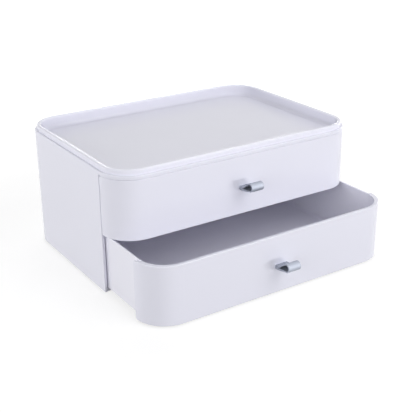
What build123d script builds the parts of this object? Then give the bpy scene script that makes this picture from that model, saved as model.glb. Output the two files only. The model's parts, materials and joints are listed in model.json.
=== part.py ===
"""Makeup organizer: a low cabinet with a recessed top tray and two full-width drawers.

The cabinet shell is one moulding: side walls, back wall and tray. Two flat decks, the base panel and the
middle shelf, rest on ledges inside it and are screwed to its back wall. Each drawer is a box with a tall
curved front, held together by the screws of a small metal finger pull. The lower drawer stands open.

Millimetres. X runs to the right, the fronts face -Y, Z is up. The origin is on the table, under the
middle of the cabinet.
"""

import os
from math import asin, atan2, cos, hypot, radians, sin

from build123d import *

os.makedirs("parts", exist_ok=True)

# Cabinet outline, with both drawers shut and without the handles
width = 300.0
depth = 216.0
corner_radius = 34.0
wall = 3.0

# Heights, from the table up
foot_drop = 2.0  # gap between the table and the shell's bottom edge
cover_height = 63.4
cover_gap = 1.4  # between the two drawer fronts
top_gap = 0.4  # between the upper front and the tray's flange
flange_height = 3.8
rim_height = 5.6

# Tray
rim_inset = 2.6
rim_width = 4.2
tray_depth = 12.8
pan_wall = 2.2
tray_fillet = 4.0
rim_round = 1.9
ledge_round = 1.0
wall_edge_round = 0.5

# Decks and the ledges that carry them
ledge_thickness = 1.2
ledge_width = 4.0
deck_thickness = 2.0
deck_clearance = 0.3
deck_setback = 1.0  # of the deck's front edge behind the wall's front edge
deck_flange_height = 11.0
deck_flange_thickness = 2.2
deck_flange_length = 212.0
deck_front_round = 0.6
under_box = 1.2  # free height between a deck and its drawer box
running_gap = 0.3
rail_width = 4.0
rail_spacing = 200.0
rail_setback = 5.0  # of the rail's front end behind the deck's front edge
hold_down_length = 10.0
hold_down_height = 1.0
hold_down_inset = 14.0  # from the wall's front edge
hold_down_spacing = 88.0

# Drawer fronts
cover_wall = 1.6
cover_wrap = 33.8  # how far a front reaches back along the side
wrap_gap = 1.0  # between a front's end and the side wall
cover_end_round = 3.0
cover_edge_round = 0.8
cap_thickness = 2.0
return_thickness = 2.0
fit_gap = 0.15
lip_length = 24.0
lip_depth = 5.0
lip_thickness = 1.6
lip_spacing = 84.0

# Drawer boxes
side_clearance = 1.0
box_wall = 1.8
box_rise = 0.5  # of the lower box's rim above its front
back_clearance = 0.3  # between the shut box and the bosses behind it
box_back_radius = 28.0
box_floor_fillet = 4.0
box_rim_round = 0.6
tray_clearance = 0.8
cap_cut_length = 28.0  # of the lowered stretch of the box wall, under the front's cap
guide_height = 3.0
guide_inset = 4.0

# Travel and its stops
lower_open = 62.8  # how far the lower drawer stands open
travel = 140.0
stop_spacing = 120.0
stop_width = 10.0
stop_length = 4.0

# Finger pulls
handle_length = 15.0
handle_height = 29.6  # of the neck above the front's bottom edge
neck_height = 4.2
neck_length = 4.5
neck_top_length = 3.0
barrel_reach = 17.6
barrel_rise = 5.3
barrel_radius = 4.7
strip_thickness = 1.4
hollow_tip_reach = 4.8  # where the two runs of the strip part
hollow_tip_rise = 0.6
hollow_tip_angle = 25.0  # at which the upper line of the hollow leaves its tip
flare_start_angle = 6.0
flare_meeting_angle = 115.0  # place on the barrel where the upper flare joins it
handle_edge_round = 0.4

# Screws through box and front into the pull
pull_screw_radius = 1.25
pull_screw_spacing = 8.0
pull_screw_grip = 3.8  # length inside the pull's neck
pull_head_radius = 2.4
pull_head_height = 1.6
pull_hole_radius = 1.45
thread_clearance = 0.05

# Screws through the back wall into a deck
deck_screw_radius = 1.5
deck_screw_spacing = 90.0
deck_screw_count = 3
deck_head_radius = 3.0
deck_head_height = 1.5
deck_hole_radius = 1.65
counterbore_radius = 3.3
counterbore_depth = 1.6
boss_radius = 3.6
boss_length = 4.2
screw_tip_setback = 0.6
recess_width = 0.7
recess_length = 2.6
recess_depth = 0.7

# Rubber feet
foot_radius = 6.0
foot_round = 0.8
foot_side_inset = 30.0  # foot centre inside the cabinet's side
foot_front_inset = 18.0  # foot centre behind the deck's front edge
foot_back_inset = 30.0  # foot centre in front of the cabinet's back

# Levels and lines worked out from the sizes above
front_y = -depth / 2
back_y = depth / 2
wall_front_y = front_y + cover_wrap + wrap_gap
deck_front_y = wall_front_y + deck_setback
deck_back_y = back_y - wall - deck_clearance
lower_cover_bottom = foot_drop
upper_cover_bottom = lower_cover_bottom + cover_height + cover_gap
flange_bottom = upper_cover_bottom + cover_height + top_gap
ledge_z = flange_bottom + flange_height
rim_top = ledge_z + rim_height
tray_floor_z = rim_top - tray_depth
pan_bottom = tray_floor_z - pan_wall
box_inset = wall + side_clearance
box_lift = ledge_thickness + deck_thickness + under_box
side_play = side_clearance - running_gap
rail_height = under_box - running_gap
double_wall = cover_wall + fit_gap + box_wall  # a drawer's front with the box wall behind it
boss_height = ledge_thickness + deck_thickness + deck_flange_height / 2
box_depth = deck_back_y - deck_flange_thickness - boss_length - back_clearance - front_y
deck_screw_xs = [deck_screw_spacing * (i - (deck_screw_count - 1) / 2) for i in range(deck_screw_count)]


def plan(inset, shift=0.0, mode=Mode.ADD):
    """The cabinet's rounded outline, drawn in by inset and moved along Y by shift."""
    with Locations((0, shift)):
        RectangleRounded(width - 2 * inset, depth - 2 * inset, corner_radius - inset, mode=mode)


def keep_behind(y):
    """Leave only what lies behind the line y."""
    with Locations((0, y)):
        Rectangle(2 * width, 4 * depth, align=(Align.CENTER, Align.MAX), mode=Mode.SUBTRACT)


def keep_in_front(y):
    """Leave only what lies in front of the line y."""
    with Locations((0, y)):
        Rectangle(2 * width, 4 * depth, align=(Align.CENTER, Align.MIN), mode=Mode.SUBTRACT)


def block(x0, x1, y0, y1, z0, z1, mode=Mode.ADD):
    """A rectangular block between two corners."""
    with Locations((min(x0, x1), y0, z0)):
        Box(abs(x1 - x0), y1 - y0, z1 - z0, align=(Align.MIN, Align.MIN, Align.MIN), mode=mode)


def along_y(x, y, z, direction):
    """A workplane at a point, facing +Y or -Y."""
    return Plane(origin=(x, y, z), x_dir=(-direction, 0, 0), z_dir=(0, direction, 0))


def box_outline(front, inset=0.0):
    """Rounded outline of a drawer box, drawn in by inset."""
    start = front + cover_wall + fit_gap + inset
    end = front + box_depth - inset
    with BuildSketch(mode=Mode.PRIVATE) as outline:
        with Locations((0, (start + end) / 2)):
            Rectangle(width - 2 * (box_inset + inset), end - start)
        fillet(outline.vertices().group_by(Axis.Y)[0], corner_radius - box_inset - inset)
        fillet(outline.vertices().group_by(Axis.Y)[-1], box_back_radius - inset)
    return outline.sketch


def save(piece, name):
    """Label a finished piece and write it under its own name."""
    piece.part.label = name
    export_step(piece.part, f"parts/{name}.step")


# Cabinet shell: side walls and back wall, flange, rim and recessed tray in one moulding
with BuildPart() as cabinet_shell:
    with BuildSketch(Plane.XY.offset(foot_drop)):
        plan(0)
        plan(wall, mode=Mode.SUBTRACT)
        keep_behind(wall_front_y)
    extrude(amount=flange_bottom - foot_drop)
    front_edges = cabinet_shell.edges().filter_by(Axis.Z).group_by(Axis.Y)[0]
    fillet(front_edges, wall_edge_round)

    with BuildSketch(Plane.XY.offset(flange_bottom)):
        plan(0)
    extrude(amount=flange_height)
    fillet(cabinet_shell.edges().group_by(Axis.Z)[-1], ledge_round)

    with BuildSketch(Plane.XY.offset(ledge_z)):
        plan(rim_inset)
    extrude(amount=rim_height)

    with BuildSketch(Plane.XY.offset(pan_bottom)):
        plan(rim_inset + rim_width - pan_wall)
    extrude(amount=flange_bottom - pan_bottom)

    with BuildSketch(Plane.XY.offset(tray_floor_z)):
        plan(rim_inset + rim_width)
    extrude(amount=tray_depth, mode=Mode.SUBTRACT)
    fillet(cabinet_shell.edges().filter_by_position(Axis.Z, tray_floor_z, tray_floor_z), tray_fillet)
    fillet(cabinet_shell.edges().group_by(Axis.Z)[-1], rim_round)

    straight_back = back_y - corner_radius
    for cover_bottom in (lower_cover_bottom, upper_cover_bottom):
        deck_top = cover_bottom + ledge_thickness + deck_thickness
        guide_bottom = cover_bottom + (cover_height - guide_height) / 2
        for side in (-1, 1):
            in_wall = side * (width - wall) / 2
            inner = side * (width / 2 - wall)
            # ledge under the deck
            block(in_wall, inner - side * ledge_width, deck_front_y, straight_back,
                  cover_bottom, cover_bottom + ledge_thickness)
            # rib that guides the side of the drawer box
            block(in_wall, inner - side * side_play, wall_front_y + guide_inset, straight_back,
                  guide_bottom, guide_bottom + guide_height)
            # nubs that the deck snaps under
            for i in range(2):
                nub_front = wall_front_y + hold_down_inset + i * hold_down_spacing
                block(in_wall, inner - side * side_play, nub_front, nub_front + hold_down_length,
                      deck_top, deck_top + hold_down_height)
        for x in deck_screw_xs:
            with Locations(along_y(x, back_y, cover_bottom + boss_height, 1)):
                CounterBoreHole(deck_hole_radius, counterbore_radius, counterbore_depth, depth=wall)


def make_deck(cover_bottom):
    """Flat panel that carries a drawer: rails, travel stops and a screwed flange along its back."""
    bottom = cover_bottom + ledge_thickness
    top = bottom + deck_thickness
    screw_z = cover_bottom + boss_height
    with BuildPart() as deck:
        with BuildSketch(Plane.XY.offset(bottom)):
            plan(wall + deck_clearance)
            keep_behind(deck_front_y)
        extrude(amount=deck_thickness)
        fillet(deck.edges().filter_by(Axis.X).group_by(Axis.Y)[0], deck_front_round)

        flange_half = deck_flange_length / 2
        block(-flange_half, flange_half, deck_back_y - deck_flange_thickness, deck_back_y,
              top, top + deck_flange_height)

        for side in (-1, 1):
            rail_x = side * rail_spacing / 2
            block(rail_x - rail_width / 2, rail_x + rail_width / 2, deck_front_y + rail_setback,
                  deck_back_y - deck_flange_thickness, top, top + rail_height)
            stop_x = side * stop_spacing / 2
            stop_back = front_y + box_depth - stop_length - travel - running_gap
            block(stop_x - stop_width / 2, stop_x + stop_width / 2, stop_back - stop_length,
                  stop_back, top, top + rail_height)

        # bosses for the screws, which also stop the shut drawer
        flange_front = deck_back_y - deck_flange_thickness
        for x in deck_screw_xs:
            with BuildSketch(along_y(x, flange_front, screw_z, -1)):
                Circle(boss_radius)
            extrude(amount=boss_length)
            with Locations(along_y(x, deck_back_y, screw_z, 1)):
                Hole(deck_screw_radius + thread_clearance, depth=deck_flange_thickness + boss_length)
    return deck


base_panel = make_deck(lower_cover_bottom)
middle_shelf = make_deck(upper_cover_bottom)


def make_deck_screws(cover_bottom):
    """Row of pan-head screws through the back wall into a deck, heads sunk in the counterbores."""
    seat_y = back_y - counterbore_depth
    tip_y = deck_back_y - deck_flange_thickness - boss_length + screw_tip_setback
    with BuildPart() as screws:
        for x in deck_screw_xs:
            z = cover_bottom + boss_height
            with BuildSketch(along_y(x, seat_y, z, -1)):
                Circle(deck_screw_radius)
            extrude(amount=seat_y - tip_y)
            with BuildSketch(along_y(x, seat_y, z, 1)):
                Circle(deck_head_radius)
            extrude(amount=deck_head_height)
            with BuildSketch(along_y(x, seat_y + deck_head_height, z, -1)):
                Rectangle(recess_length, recess_width)
                Rectangle(recess_width, recess_length)
            extrude(amount=recess_depth, mode=Mode.SUBTRACT)
    return screws


base_screws = make_deck_screws(lower_cover_bottom)
shelf_screws = make_deck_screws(upper_cover_bottom)


def make_drawer_box(cover_bottom, front, top):
    """Open box that runs on a deck. Its front wall ducks under the cap of the drawer's front."""
    bottom = cover_bottom + box_lift
    box_front = front + cover_wall + fit_gap
    box_back = front + box_depth
    with BuildPart() as box:
        with BuildSketch(Plane.XY.offset(bottom)):
            add(box_outline(front))
        extrude(amount=top - bottom)

        with BuildSketch(Plane.XY.offset(bottom + box_wall)):
            add(box_outline(front, box_wall))
        extrude(amount=top - bottom, mode=Mode.SUBTRACT)
        floor_z = bottom + box_wall
        fillet(box.edges().filter_by_position(Axis.Z, floor_z, floor_z), box_floor_fillet)
        fillet(box.edges().group_by(Axis.Z)[-1], box_rim_round)

        # lowered stretch under the cap
        cap_bottom = cover_bottom + cover_height - cap_thickness
        block(-width, width, front - width, front + cap_cut_length,
              cap_bottom - fit_gap, cap_bottom + cover_height, mode=Mode.SUBTRACT)

        # hooks that meet the deck's stops at full travel
        for side in (-1, 1):
            x = side * stop_spacing / 2
            block(x - stop_width / 2, x + stop_width / 2, box_back - stop_length, box_back,
                  bottom - rail_height, bottom)

        for side in (-1, 1):
            x = side * pull_screw_spacing / 2
            with Locations(along_y(x, box_front + box_wall, cover_bottom + handle_height, 1)):
                Hole(pull_hole_radius, depth=box_wall)
    return box


lower_front_y = front_y - lower_open
lower_box_top = lower_cover_bottom + cover_height + box_rise
upper_box_top = pan_bottom - tray_clearance
lower_drawer_box = make_drawer_box(lower_cover_bottom, lower_front_y, lower_box_top)
upper_drawer_box = make_drawer_box(upper_cover_bottom, front_y, upper_box_top)


def make_drawer_front(bottom, front, box_top):
    """Tall front with two large round corners, ending flush with the cabinet's sides."""
    shift = front - front_y
    top = bottom + cover_height
    end = front + cover_wrap
    with BuildPart() as cover:
        with BuildSketch(Plane.XY.offset(bottom)):
            plan(0, shift)
            plan(cover_wall, shift, mode=Mode.SUBTRACT)
            keep_in_front(end)
        extrude(amount=cover_height)
        end_corners = cover.edges().filter_by(Axis.X).group_by(Axis.Y)[-1]
        fillet(end_corners, cover_end_round)
        outer_rim = cover.edges().group_by(Axis.Z)[-1].sort_by(Axis.Y)[0]
        fillet(outer_rim, cover_edge_round)

        # cap over the gap behind the front, wider in front where it covers the wall of a tall box
        with BuildSketch(Plane.XY.offset(top - cap_thickness)):
            plan(cover_wall / 2, shift)
            plan(double_wall, shift, mode=Mode.SUBTRACT)
            keep_in_front(end - cover_end_round)
        extrude(amount=cap_thickness)
        if box_top > top - cap_thickness:
            with BuildSketch(Plane.XY.offset(top - cap_thickness)):
                plan(cover_wall / 2, shift)
                add(box_outline(front, box_wall), mode=Mode.SUBTRACT)
                keep_in_front(front + cap_cut_length - fit_gap)
            extrude(amount=cap_thickness)

        # returns that close each end against the box
        for side in (-1, 1):
            block(side * (width - cover_wall) / 2, side * (width / 2 - box_inset + fit_gap),
                  end - return_thickness, end, bottom + cover_end_round, top - cover_end_round)

        # lips under the box's floor
        lip_top = bottom + box_lift - fit_gap
        for i in (-1, 0, 1):
            x = i * lip_spacing
            block(x - lip_length / 2, x + lip_length / 2, front + cover_wall / 2,
                  front + cover_wall + lip_depth, lip_top - lip_thickness, lip_top)

        for side in (-1, 1):
            x = side * pull_screw_spacing / 2
            with Locations(along_y(x, front + cover_wall, bottom + handle_height, 1)):
                Hole(pull_hole_radius, depth=cover_wall)
    return cover


lower_drawer_front = make_drawer_front(lower_cover_bottom, lower_front_y, lower_box_top)
upper_drawer_front = make_drawer_front(upper_cover_bottom, front_y, upper_box_top)


def barrel_touch(start, radius):
    """Where a line from start meets the underside of a circle around the pull's barrel."""
    run = barrel_reach - start[0]
    climb = barrel_rise - start[1]
    distance = hypot(run, climb)
    slope = atan2(climb, run) - asin(radius / distance)
    length = (distance ** 2 - radius ** 2) ** 0.5
    return (start[0] + length * cos(slope), start[1] + length * sin(slope))


def barrel_point(radius, angle):
    """A point on a circle around the pull's barrel."""
    return (barrel_reach + radius * cos(angle), barrel_rise + radius * sin(angle))


def make_handle(cover_bottom, front):
    """Strip bent into a hollow teardrop: a flat neck on the drawer that flares up into a round barrel."""
    side_plane = Plane(origin=(0, front, cover_bottom + handle_height), x_dir=(0, -1, 0), z_dir=(-1, 0, 0))
    neck_half = neck_height / 2
    neck_end = (neck_length, -neck_half)
    touch = barrel_touch(neck_end, barrel_radius)
    flare_start = (neck_top_length, neck_half)
    hollow_tip = (hollow_tip_reach, hollow_tip_rise)
    inner_radius = barrel_radius - strip_thickness
    inner_touch = barrel_touch(hollow_tip, inner_radius)
    meet = radians(flare_meeting_angle)
    flare = radians(flare_start_angle)
    tip = radians(hollow_tip_angle)
    off_barrel = (-sin(meet), cos(meet))
    with BuildPart() as handle:
        with BuildSketch(side_plane):
            with BuildLine():
                Polyline(flare_start, (0, neck_half), (0, -neck_half), neck_end, touch)
                ThreePointArc(touch, barrel_point(barrel_radius, 0), barrel_point(barrel_radius, meet))
                Spline(barrel_point(barrel_radius, meet), flare_start,
                       tangents=[off_barrel, (-cos(flare), -sin(flare))])
            make_face()
        extrude(amount=handle_length / 2, both=True)
        fillet(handle.faces().filter_by(Axis.X).edges(), handle_edge_round)
        with BuildSketch(side_plane):
            with BuildLine():
                Line(hollow_tip, inner_touch)
                ThreePointArc(inner_touch, barrel_point(inner_radius, 0), barrel_point(inner_radius, meet))
                Spline(barrel_point(inner_radius, meet), hollow_tip,
                       tangents=[off_barrel, (-cos(tip), -sin(tip))])
            make_face()
        extrude(amount=handle_length, both=True, mode=Mode.SUBTRACT)
        for side in (-1, 1):
            x = side * pull_screw_spacing / 2
            with Locations(along_y(x, front, cover_bottom + handle_height, 1)):
                Hole(pull_screw_radius + thread_clearance, depth=neck_length)
    return handle


lower_handle = make_handle(lower_cover_bottom, lower_front_y)
upper_handle = make_handle(upper_cover_bottom, front_y)


def make_pull_screws(cover_bottom, front):
    """Pair of pan-head screws, heads inside the drawer, tips in the neck of the pull."""
    seat_y = front + cover_wall + fit_gap + box_wall
    z = cover_bottom + handle_height
    with BuildPart() as screws:
        for side in (-1, 1):
            x = side * pull_screw_spacing / 2
            with BuildSketch(along_y(x, seat_y, z, -1)):
                Circle(pull_screw_radius)
            extrude(amount=seat_y - front + pull_screw_grip)
            with BuildSketch(along_y(x, seat_y, z, 1)):
                Circle(pull_head_radius)
            extrude(amount=pull_head_height)
            with BuildSketch(along_y(x, seat_y + pull_head_height, z, -1)):
                Rectangle(recess_length, recess_width)
                Rectangle(recess_width, recess_length)
            extrude(amount=recess_depth, mode=Mode.SUBTRACT)
    return screws


lower_handle_screws = make_pull_screws(lower_cover_bottom, lower_front_y)
upper_handle_screws = make_pull_screws(upper_cover_bottom, front_y)


def make_foot(x, y):
    """Round rubber pad between the table and the base panel."""
    with BuildPart() as foot:
        with BuildSketch(Plane.XY):
            with Locations((x, y)):
                Circle(foot_radius)
        extrude(amount=foot_drop + ledge_thickness)
        fillet(foot.edges().group_by(Axis.Z)[0], foot_round)
    return foot


foot_x = width / 2 - foot_side_inset
front_foot_y = deck_front_y + foot_front_inset
back_foot_y = back_y - foot_back_inset
feet = {
    "front_left_foot": make_foot(-foot_x, front_foot_y),
    "front_right_foot": make_foot(foot_x, front_foot_y),
    "back_left_foot": make_foot(-foot_x, back_foot_y),
    "back_right_foot": make_foot(foot_x, back_foot_y),
}

save(cabinet_shell, "cabinet_shell")
save(base_panel, "base_panel")
save(middle_shelf, "middle_shelf")
save(base_screws, "base_screws")
save(shelf_screws, "shelf_screws")
save(lower_drawer_box, "lower_drawer_box")
save(upper_drawer_box, "upper_drawer_box")
save(lower_drawer_front, "lower_drawer_front")
save(upper_drawer_front, "upper_drawer_front")
save(lower_handle, "lower_handle")
save(upper_handle, "upper_handle")
save(lower_handle_screws, "lower_handle_screws")
save(upper_handle_screws, "upper_handle_screws")
for name, foot in feet.items():
    save(foot, name)
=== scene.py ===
"""Looks of the makeup organizer: materials, floor, soft light and the camera of the photograph."""

import json
import math

import bpy
from mathutils import Matrix, Vector

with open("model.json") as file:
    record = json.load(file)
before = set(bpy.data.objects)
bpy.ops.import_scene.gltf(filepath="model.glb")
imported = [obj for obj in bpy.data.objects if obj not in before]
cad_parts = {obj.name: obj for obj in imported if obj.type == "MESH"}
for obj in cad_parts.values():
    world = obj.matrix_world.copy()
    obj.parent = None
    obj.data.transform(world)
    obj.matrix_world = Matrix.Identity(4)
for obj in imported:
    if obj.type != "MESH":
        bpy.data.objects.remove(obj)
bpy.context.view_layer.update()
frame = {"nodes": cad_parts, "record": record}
nodes = frame["nodes"]

# Camera, fitted to the photograph: lengths in metres, sensor and lens in millimetres
AZIMUTH = math.radians(-33.127)
ELEVATION = math.radians(22.843)
ROLL = math.radians(-0.497)
DISTANCE = 0.99604
TARGET = Vector((0.02158, 0.0, 0.031507))
SENSOR = 36.0
LENS = 73.915
CAMERA_REACH = 50

# Surroundings: light and grey levels where 1 is white, lengths in metres
WHITE_BACKGROUND = 1.0
WORLD_LIGHT = 0.27
FLOOR_GLOW_NEAR = 0.75
FLOOR_GLOW_FAR = 1.0
FLOOR_GLOW_START = 0.3
FLOOR_GLOW_END = 0.9
FLOOR_GREY = 0.35
FLOOR_ROUGHNESS = 0.9
FLOOR_HALF = 6.0

# Soft boxes: name, place, point they face, width and height in metres, power in watts
STRIP_AIM = (0, 0, 0.08)
STRIP_SIZE = (1.2, 0.24)
BOX_AIM = (0, 0, 0.05)
LAMPS = (
    ("left_low", (-2.46, 1.72, 0.15), STRIP_AIM, STRIP_SIZE, 27),
    ("right_low", (2.99, 0.26, 0.15), STRIP_AIM, STRIP_SIZE, 12),
    ("back_low", (1.50, 2.60, 0.15), STRIP_AIM, STRIP_SIZE, 30),
    ("front_low", (1.27, -2.72, 0.15), STRIP_AIM, STRIP_SIZE, 19),
    ("left_front", (-1.48, -0.72, 0.44), BOX_AIM, (1.4, 0.8), 9.4),
    ("right_front", (0.82, -1.42, 0.44), BOX_AIM, (1.7, 0.8), 3.2),
    ("high_front", (0.53, -1.14, 1.14), BOX_AIM, (1.0, 1.0), 8.4),
    ("high_back", (0.55, 0.95, 1.3), BOX_AIM, (1.2, 1.2), 7.0),
)

# Colours. The boxes and decks inside get a slightly lighter white than the shell and the fronts: painted light
# that brightens their shaded inside.
WHITE = (0.86, 0.86, 0.96)
INNER_WHITE_WITH_PAINTED_LIGHT = (0.905, 0.90, 0.99)
SATIN_GREY = (0.42, 0.445, 0.51)
STEEL_GREY = (0.6, 0.6, 0.62)
RUBBER_GREY = (0.45, 0.45, 0.47)
INNER_NODES = ("base_panel", "middle_shelf", "lower_drawer_box", "upper_drawer_box")

# Noise values between these two take up the whole of a blend or range
NOISE_LOW = 0.2
NOISE_HIGH = 0.8

# Noises: scale per metre, detail
FLOW = (7.0, 2.0)
GLOSS = (30.0, 3.0)
WAVE = (25.0, 0.0)
MOULD_GRAIN = (1600.0, 2.0)
METAL_GRAIN = (900.0, 3.0)
RUBBER_GRAIN = (1500.0, 3.0)

# Bumps: strength, depth in metres
WAVE_BUMP = (1.0, 0.00004)
MOULD_GRAIN_BUMP = (0.1, 0.00002)
METAL_GRAIN_BUMP = (0.15, 0.00003)
RUBBER_GRAIN_BUMP = (0.3, 0.0001)

# Surfaces: roughness, how far a noise moves it down and up, and the darkest shade as a share of the colour
PLASTIC_ROUGHNESS = 0.20
PLASTIC_ROUGHNESS_CHANGE = (-0.02, 0.03)
PLASTIC_SHADE = 0.985
PLASTIC_IOR = 1.5
SATIN_ROUGHNESS = 0.62
STEEL_ROUGHNESS = 0.35
METAL_ROUGHNESS_CHANGE = (-0.05, 0.08)
METAL_SHADE = 0.9
RUBBER_ROUGHNESS = 0.75
RUBBER_SHADE = 0.85

# Scale of a metal's grain along X, Y and Z: a small one draws the grain out
BRUSHED_ALONG_X = (0.05, 1.0, 1.0)
EVEN_GRAIN = (1.0, 1.0, 1.0)


def make_camera():
    """The camera looks at the target from the photograph's direction."""
    back = Vector((math.sin(AZIMUTH) * math.cos(ELEVATION),
                   -math.cos(AZIMUTH) * math.cos(ELEVATION),
                   math.sin(ELEVATION)))
    right = (-back).cross(Vector((0, 0, 1))).normalized()
    up = right.cross(-back)
    rolled_right = right * math.cos(ROLL) + up * math.sin(ROLL)
    rolled_up = up * math.cos(ROLL) - right * math.sin(ROLL)
    data = bpy.data.cameras.new("camera")
    data.sensor_width = SENSOR
    data.lens = LENS
    data.clip_end = CAMERA_REACH
    camera = bpy.data.objects.new("camera", data)
    place = Matrix((rolled_right, rolled_up, back)).transposed().to_4x4()
    place.translation = TARGET + back * DISTANCE
    camera.matrix_world = place
    bpy.context.scene.collection.objects.link(camera)
    bpy.context.scene.camera = camera


def new_material(name):
    """A node material with its own Principled shader and output."""
    material = bpy.data.materials.new(name)
    material.use_nodes = True
    tree = material.node_tree
    return material, tree, tree.nodes["Principled BSDF"]


def add(tree, kind, operation=None, **inputs):
    """A node with its operation, if it has one, and constants on input sockets: To_Min is the socket To Min."""
    node = tree.nodes.new(kind)
    if operation:
        node.operation = operation
    for key, value in inputs.items():
        node.inputs[key.replace("_", " ")].default_value = value
    return node


def noise(tree, scale, detail, axis_scale=None):
    """Noise on the object's coordinates in metres, with a scale for each axis if one is given."""
    vector = add(tree, "ShaderNodeTexCoord").outputs["Object"]
    if axis_scale:
        mapping = add(tree, "ShaderNodeMapping", Scale=axis_scale)
        tree.links.new(vector, mapping.inputs["Vector"])
        vector = mapping.outputs["Vector"]
    node = add(tree, "ShaderNodeTexNoise", Scale=scale, Detail=detail)
    tree.links.new(vector, node.inputs["Vector"])
    return node.outputs["Fac"]


def remap(tree, source, low, high, from_low=NOISE_LOW, from_high=NOISE_HIGH):
    """Maps a value, a noise if nothing else is said, to the range low to high."""
    node = add(tree, "ShaderNodeMapRange", From_Min=from_low, From_Max=from_high, To_Min=low, To_Max=high)
    tree.links.new(source, node.inputs["Value"])
    return node.outputs["Result"]


def tint(tree, source, color, shade):
    """Blends by a noise from the shaded colour to the colour itself."""
    ramp = add(tree, "ShaderNodeValToRGB")
    dark, light = ramp.color_ramp.elements
    dark.position = NOISE_LOW
    light.position = NOISE_HIGH
    dark.color = (*(channel * shade for channel in color), 1)
    light.color = (*color, 1)
    tree.links.new(source, ramp.inputs["Fac"])
    return ramp.outputs["Color"]


def bump(tree, height, strength, depth, below=None):
    """A bump of a given depth in metres, on top of another if one is given."""
    node = add(tree, "ShaderNodeBump", Strength=strength, Distance=depth)
    tree.links.new(height, node.inputs["Height"])
    if below:
        tree.links.new(below, node.inputs["Normal"])
    return node.outputs["Normal"]


def change_roughness(tree, shader, source, roughness, change):
    """Lets the roughness wander with a noise."""
    down, up = change
    tree.links.new(remap(tree, source, roughness + down, roughness + up), shader.inputs["Roughness"])


def plastic(name, color):
    """Glossy moulded plastic: faint flow marks in colour, a little change of gloss, very fine mould grain."""
    material, tree, shader = new_material(name)
    flow = noise(tree, *FLOW)
    gloss = noise(tree, *GLOSS)
    wave = noise(tree, *WAVE)
    grain = noise(tree, *MOULD_GRAIN)
    tree.links.new(tint(tree, flow, color, PLASTIC_SHADE), shader.inputs["Base Color"])
    change_roughness(tree, shader, gloss, PLASTIC_ROUGHNESS, PLASTIC_ROUGHNESS_CHANGE)
    waved = bump(tree, wave, *WAVE_BUMP)
    grained = bump(tree, grain, *MOULD_GRAIN_BUMP, below=waved)
    tree.links.new(grained, shader.inputs["Normal"])
    shader.inputs["IOR"].default_value = PLASTIC_IOR
    return material


def metal(name, color, roughness, axis_scale):
    """Metal with a fine grain, even or brushed along an axis."""
    material, tree, shader = new_material(name)
    grain = noise(tree, *METAL_GRAIN, axis_scale=axis_scale)
    tree.links.new(tint(tree, grain, color, METAL_SHADE), shader.inputs["Base Color"])
    change_roughness(tree, shader, grain, roughness, METAL_ROUGHNESS_CHANGE)
    tree.links.new(bump(tree, grain, *METAL_GRAIN_BUMP), shader.inputs["Normal"])
    shader.inputs["Metallic"].default_value = 1.0
    return material


def rubber(name, color):
    """Dull rubber with a fine grain."""
    material, tree, shader = new_material(name)
    grain = noise(tree, *RUBBER_GRAIN)
    tree.links.new(tint(tree, grain, color, RUBBER_SHADE), shader.inputs["Base Color"])
    tree.links.new(bump(tree, grain, *RUBBER_GRAIN_BUMP), shader.inputs["Normal"])
    shader.inputs["Roughness"].default_value = RUBBER_ROUGHNESS
    return material


def dress_pieces():
    """Gives each piece the look of its material slot, and the pieces inside a lighter white: painted light that
    brightens their shaded inside.
    """
    looks = {
        "white_plastic": plastic("white_plastic_look", WHITE),
        "satin_metal": metal("satin_metal_look", SATIN_GREY, SATIN_ROUGHNESS, BRUSHED_ALONG_X),
        "screw_steel": metal("screw_steel_look", STEEL_GREY, STEEL_ROUGHNESS, EVEN_GRAIN),
        "foot_rubber": rubber("foot_rubber_look", RUBBER_GREY),
    }
    # Painted light: a lighter copy of the white plastic for the pieces inside, so that their shaded inside
    # reads brighter
    inner_painted_light_look = plastic("inner_plastic_painted_light_look", INNER_WHITE_WITH_PAINTED_LIGHT)
    slots = {part["node"]: part["material_slot"] for part in frame["record"]["subparts"]}
    for name, node in nodes.items():
        look = inner_painted_light_look if name in INNER_NODES else looks[slots[name]]
        for slot in node.material_slots:
            slot.material = look


def seen_as_background(tree):
    """One for a ray from the camera, a reflection or a refraction, zero for the light on the object."""
    path = add(tree, "ShaderNodeLightPath")
    total = path.outputs["Is Camera Ray"]
    for kind in ("Is Glossy Ray", "Is Transmission Ray"):
        either = add(tree, "ShaderNodeMath", "MAXIMUM")
        tree.links.new(total, either.inputs[0])
        tree.links.new(path.outputs[kind], either.inputs[1])
        total = either.outputs[0]
    return total


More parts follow.
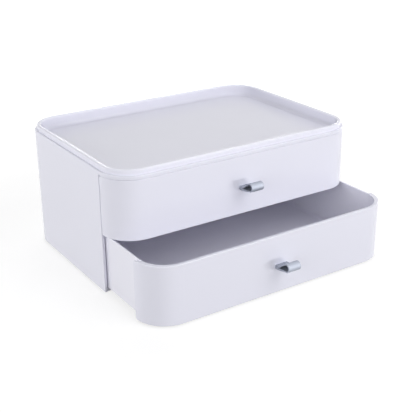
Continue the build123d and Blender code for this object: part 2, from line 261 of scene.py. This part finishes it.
def make_floor():
    """A plain pale floor: white to the eye and in reflections, a soft grey card to the light."""
    mesh = bpy.data.meshes.new("floor")
    corners = [(-FLOOR_HALF, -FLOOR_HALF, 0), (FLOOR_HALF, -FLOOR_HALF, 0),
               (FLOOR_HALF, FLOOR_HALF, 0), (-FLOOR_HALF, FLOOR_HALF, 0)]
    mesh.from_pydata(corners, [], [(0, 1, 2, 3)])
    floor = bpy.data.objects.new("floor", mesh)
    bpy.context.scene.collection.objects.link(floor)
    material, tree, shader = new_material("floor_look")
    shader.inputs["Base Color"].default_value = (FLOOR_GREY, FLOOR_GREY, FLOOR_GREY, 1)
    shader.inputs["Roughness"].default_value = FLOOR_ROUGHNESS
    shader.inputs["Specular IOR Level"].default_value = 0.0
    place = add(tree, "ShaderNodeTexCoord")
    distance = add(tree, "ShaderNodeVectorMath", "LENGTH")
    tree.links.new(place.outputs["Object"], distance.inputs[0])
    level = remap(tree, distance.outputs["Value"], FLOOR_GLOW_NEAR, FLOOR_GLOW_FAR,
                  FLOOR_GLOW_START, FLOOR_GLOW_END)
    glow = add(tree, "ShaderNodeEmission")
    tree.links.new(level, glow.inputs["Strength"])
    lifted = add(tree, "ShaderNodeAddShader")
    mix = add(tree, "ShaderNodeMixShader")
    tree.links.new(shader.outputs["BSDF"], lifted.inputs[0])
    tree.links.new(glow.outputs["Emission"], lifted.inputs[1])
    tree.links.new(seen_as_background(tree), mix.inputs["Fac"])
    tree.links.new(shader.outputs["BSDF"], mix.inputs[1])
    tree.links.new(lifted.outputs["Shader"], mix.inputs[2])
    tree.links.new(mix.outputs["Shader"], tree.nodes["Material Output"].inputs["Surface"])
    mesh.materials.append(material)


def make_world():
    """White to the camera and in reflections, a softer level for the light on the object."""
    world = bpy.data.worlds.new("world")
    bpy.context.scene.world = world
    world.use_nodes = True
    tree = world.node_tree
    background = tree.nodes["Background"]
    background.inputs["Color"].default_value = (1, 1, 1, 1)
    level = remap(tree, seen_as_background(tree), WORLD_LIGHT, WHITE_BACKGROUND, 0.0, 1.0)
    tree.links.new(level, background.inputs["Strength"])


def area_light(name, place, aim, size, power):
    """A soft box, size (width, height), that faces a point."""
    data = bpy.data.lights.new(name, "AREA")
    data.shape = "RECTANGLE"
    data.size, data.size_y = size
    data.energy = power
    light = bpy.data.objects.new(name, data)
    light.location = place
    light.rotation_euler = (Vector(aim) - Vector(place)).to_track_quat("-Z", "Y").to_euler()
    bpy.context.scene.collection.objects.link(light)


dress_pieces()
make_camera()
make_floor()
make_world()
for lamp in LAMPS:
    area_light(*lamp)

bpy.context.scene.view_settings.view_transform = "Standard"
